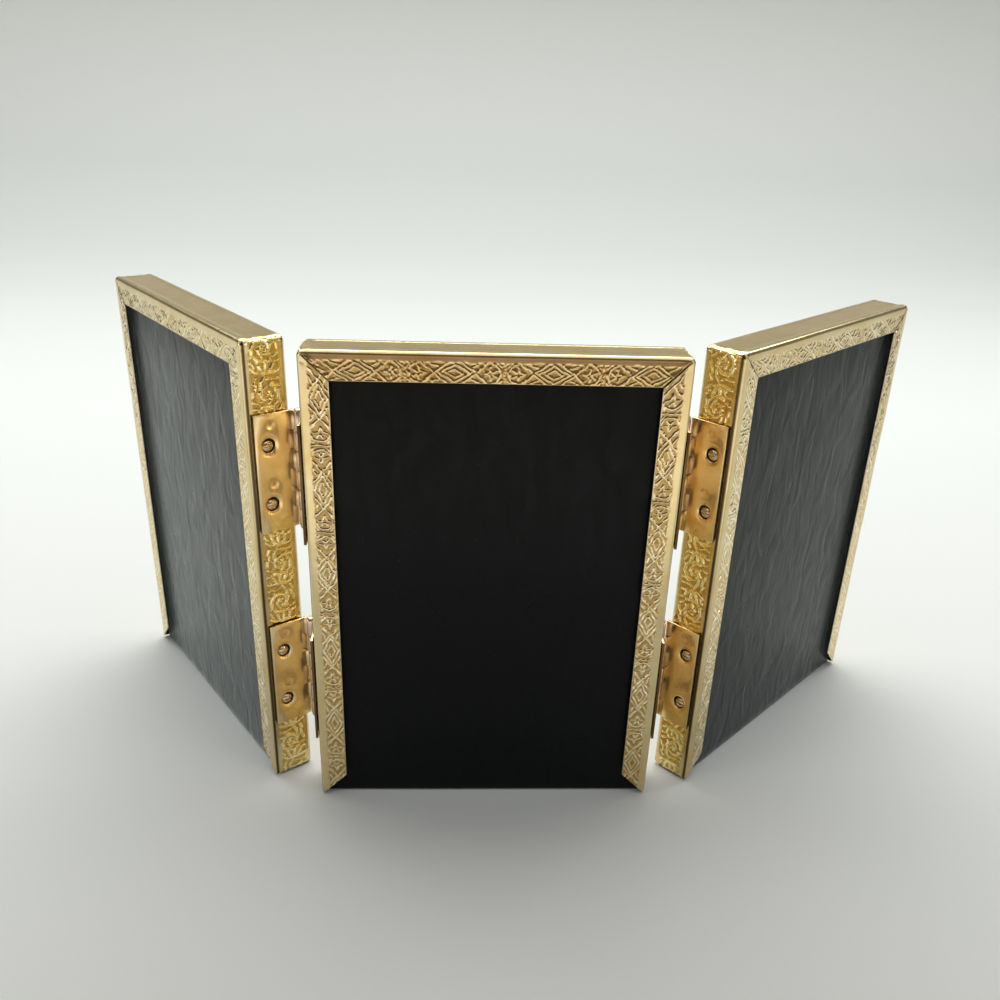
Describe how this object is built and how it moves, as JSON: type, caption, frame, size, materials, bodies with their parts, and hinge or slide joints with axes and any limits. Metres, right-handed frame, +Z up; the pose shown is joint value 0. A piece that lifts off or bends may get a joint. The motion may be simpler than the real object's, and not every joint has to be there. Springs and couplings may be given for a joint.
{
  "type": "tri-fold picture frame",
  "caption": "Free-standing folding picture frame: a centre panel with a hinged panel on each side, of embossed gold-tone sheet round glass, a print and a black backing board.",
  "frame": {"origin": "middle of the centre panel's foot, on the surface the frame stands on", "axes": "+Z up, +Y the side the pictures face, +X to the right of someone who looks at the backs; the frame opens like a book towards +Y"},
  "size_m": [0.243, 0.0892, 0.13],
  "materials": {
    "rim_metal": "embossed gold-tone sheet, satin with polished high spots and dark recesses",
    "hinge_metal": "polished, slightly tarnished",
    "fastener_metal": "brass-plated, worn",
    "glass": "clear, polished",
    "print_paper": "blank matt photo paper",
    "pad_card": "matt grey-brown card",
    "board_cover": "black fine-grained leatherette over board, semi-gloss"
  },
  "bodies": {
    "centre": {"centre_rim": "rim_metal", "centre_glass": "glass", "centre_print": "print_paper", "centre_pad": "pad_card", "centre_backing_board": "board_cover", "left_upper_centre_leaf": "hinge_metal", "left_upper_centre_screw_a": "fastener_metal", "left_upper_centre_screw_b": "fastener_metal", "left_upper_pin": "fastener_metal", "left_lower_centre_leaf": "hinge_metal", "left_lower_centre_screw_a": "fastener_metal", "left_lower_centre_screw_b": "fastener_metal", "left_lower_pin": "fastener_metal", "right_upper_centre_leaf": "hinge_metal", "right_upper_centre_screw_a": "fastener_metal", "right_upper_centre_screw_b": "fastener_metal", "right_upper_pin": "fastener_metal", "right_lower_centre_leaf": "hinge_metal", "right_lower_centre_screw_a": "fastener_metal", "right_lower_centre_screw_b": "fastener_metal", "right_lower_pin": "fastener_metal"},
    "left_wing": {"left_rim": "rim_metal", "left_glass": "glass", "left_print": "print_paper", "left_pad": "pad_card", "left_backing_board": "board_cover", "left_upper_wing_leaf": "hinge_metal", "left_upper_wing_screw_a": "fastener_metal", "left_upper_wing_screw_b": "fastener_metal", "left_lower_wing_leaf": "hinge_metal", "left_lower_wing_screw_a": "fastener_metal", "left_lower_wing_screw_b": "fastener_metal"},
    "right_wing": {"right_rim": "rim_metal", "right_glass": "glass", "right_print": "print_paper", "right_pad": "pad_card", "right_backing_board": "board_cover", "right_upper_wing_leaf": "hinge_metal", "right_upper_wing_screw_a": "fastener_metal", "right_upper_wing_screw_b": "fastener_metal", "right_lower_wing_leaf": "hinge_metal", "right_lower_wing_screw_a": "fastener_metal", "right_lower_wing_screw_b": "fastener_metal"}
  },
  "joints": [
    {"name": "left_wing_fold", "type": "hinge", "parent": "centre", "child": "left_wing", "pos_m": [-0.0491, 0.0069, 0.065], "axis": [0, 0, -1], "range_deg": [-54, 126]},
    {"name": "right_wing_fold", "type": "hinge", "parent": "centre", "child": "right_wing", "pos_m": [0.0491, 0.0069, 0.065], "axis": [0, 0, 1], "range_deg": [-42.5, 59.5]}
  ]
}
